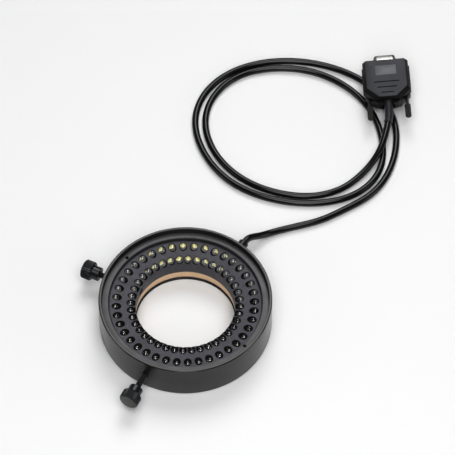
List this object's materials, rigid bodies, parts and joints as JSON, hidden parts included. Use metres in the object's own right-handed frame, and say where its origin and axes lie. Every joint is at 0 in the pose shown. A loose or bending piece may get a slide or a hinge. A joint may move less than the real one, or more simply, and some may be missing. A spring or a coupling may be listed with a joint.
{
  "type": "microscope ring light",
  "caption": "Ring light that clamps round a microscope's objective with two thumb screws, its lamps leaning inwards in two rows, with a free cable and a D-shaped connector in a hood.",
  "frame": {"origin": "on the ring's axis, in the plane of the mounting face that the ring stands on", "axes": "+Z along the ring's axis, out of the side that the lamps look from; the lamps face +Z; +X and +Y in the table's plane, with the cable leaving at 55 degrees from +X"},
  "size_m": [0.2166, 0.2799, 0.026],
  "materials": {
    "anodised": "black anodised, satin",
    "plate_black": "dark grey anodised, matt",
    "lens": "clear lamps on a black strip",
    "copper_tan": "copper-coloured, satin",
    "board_green": "green circuit board",
    "steel": "plain steel",
    "black_steel": "black oxide",
    "knob_black": "black, satin",
    "nylon": "natural nylon",
    "rubber": "black moulded",
    "cable_black": "black sheath, glossy",
    "hood_grey": "dark grey moulded",
    "label_grey": "grey, blank",
    "tin": "bright tin plate",
    "insulator": "black moulded",
    "gold": "gold-plated contacts",
    "wire_red": "red insulation",
    "white": "white moulded"
  },
  "bodies": {
    "ring_light": {"housing": "anodised", "led_plate": "plate_black", "retaining_ring": "anodised", "outer_led_strip": "lens", "inner_led_strip": "lens", "bore_liner": "copper_tan", "circuit_board": "board_green", "board_screw_1": "steel", "board_screw_2": "steel", "board_screw_3": "steel", "board_header": "white", "outer_row_wire": "wire_red", "inner_row_wire": "wire_red", "cable_gland": "rubber", "gland_nut": "black_steel", "inner_lead": "cable_black", "cable": "cable_black", "connector_boot": "rubber", "hood_upper": "hood_grey", "hood_lower": "hood_grey", "label_plate": "label_grey", "hood_screw_1": "steel", "hood_screw_2": "steel", "connector_shell": "tin", "connector_insulator": "insulator", "contact_1": "gold", "contact_2": "gold", "contact_3": "gold", "contact_4": "gold", "contact_5": "gold", "contact_6": "gold", "contact_7": "gold", "contact_8": "gold", "contact_9": "gold", "hood_lead": "cable_black", "cable_saddle": "steel", "conductor_red": "wire_red", "conductor_black": "cable_black"},
    "left_clamp_tip": {"clamp_pad_left": "nylon"},
    "left_clamp_screw": {"clamp_shank_left": "black_steel", "clamp_knob_left": "knob_black"},
    "front_clamp_tip": {"clamp_pad_front": "nylon"},
    "front_clamp_screw": {"clamp_shank_front": "black_steel", "clamp_knob_front": "knob_black"},
    "left_jack_clip": {"jack_clip_left": "steel"},
    "left_jack_screw": {"jackscrew_left": "black_steel"},
    "right_jack_clip": {"jack_clip_right": "steel"},
    "right_jack_screw": {"jackscrew_right": "black_steel"}
  },
  "joints": [
    {"name": "left_clamp_travel", "type": "slide", "parent": "ring_light", "child": "left_clamp_tip", "axis": [-0.8969, 0.4423, 0], "range_m": [-0.006, 0.0147]},
    {"name": "left_clamp_turn", "type": "hinge", "parent": "left_clamp_tip", "child": "left_clamp_screw", "pos_m": [-0.05498, 0.02711, 0.0123], "axis": [-0.8969, 0.4423, 0], "range_deg": [-3090, 7565]},
    {"name": "front_clamp_travel", "type": "slide", "parent": "ring_light", "child": "front_clamp_tip", "axis": [-0.4602, -0.8878, 0], "range_m": [-0.0105, 0.0102]},
    {"name": "front_clamp_turn", "type": "hinge", "parent": "front_clamp_tip", "child": "front_clamp_screw", "pos_m": [-0.03028, -0.05842, 0.0123], "axis": [-0.4602, -0.8878, 0], "range_deg": [-5405, 5250]},
    {"name": "left_jack_travel", "type": "slide", "parent": "ring_light", "child": "left_jack_clip", "axis": [-0.0489, 0.9988, 0], "range_m": [0, 0.0038]},
    {"name": "left_jack_turn", "type": "hinge", "parent": "left_jack_clip", "child": "left_jack_screw", "pos_m": [0.11945, 0.19369, 0.01193], "axis": [-0.0489, 0.9988, 0], "continuous": true},
    {"name": "right_jack_travel", "type": "slide", "parent": "ring_light", "child": "right_jack_clip", "axis": [-0.0489, 0.9988, 0], "range_m": [0, 0.0038]},
    {"name": "right_jack_turn", "type": "hinge", "parent": "right_jack_clip", "child": "right_jack_screw", "pos_m": [0.14435, 0.19491, 0.01367], "axis": [-0.0489, 0.9988, 0], "continuous": true}
  ],
  "couplings": [
    {"joint": "left_clamp_turn", "follows": "left_clamp_travel", "rad_per_m": 8976},
    {"joint": "front_clamp_turn", "follows": "front_clamp_travel", "rad_per_m": 8976}
  ]
}
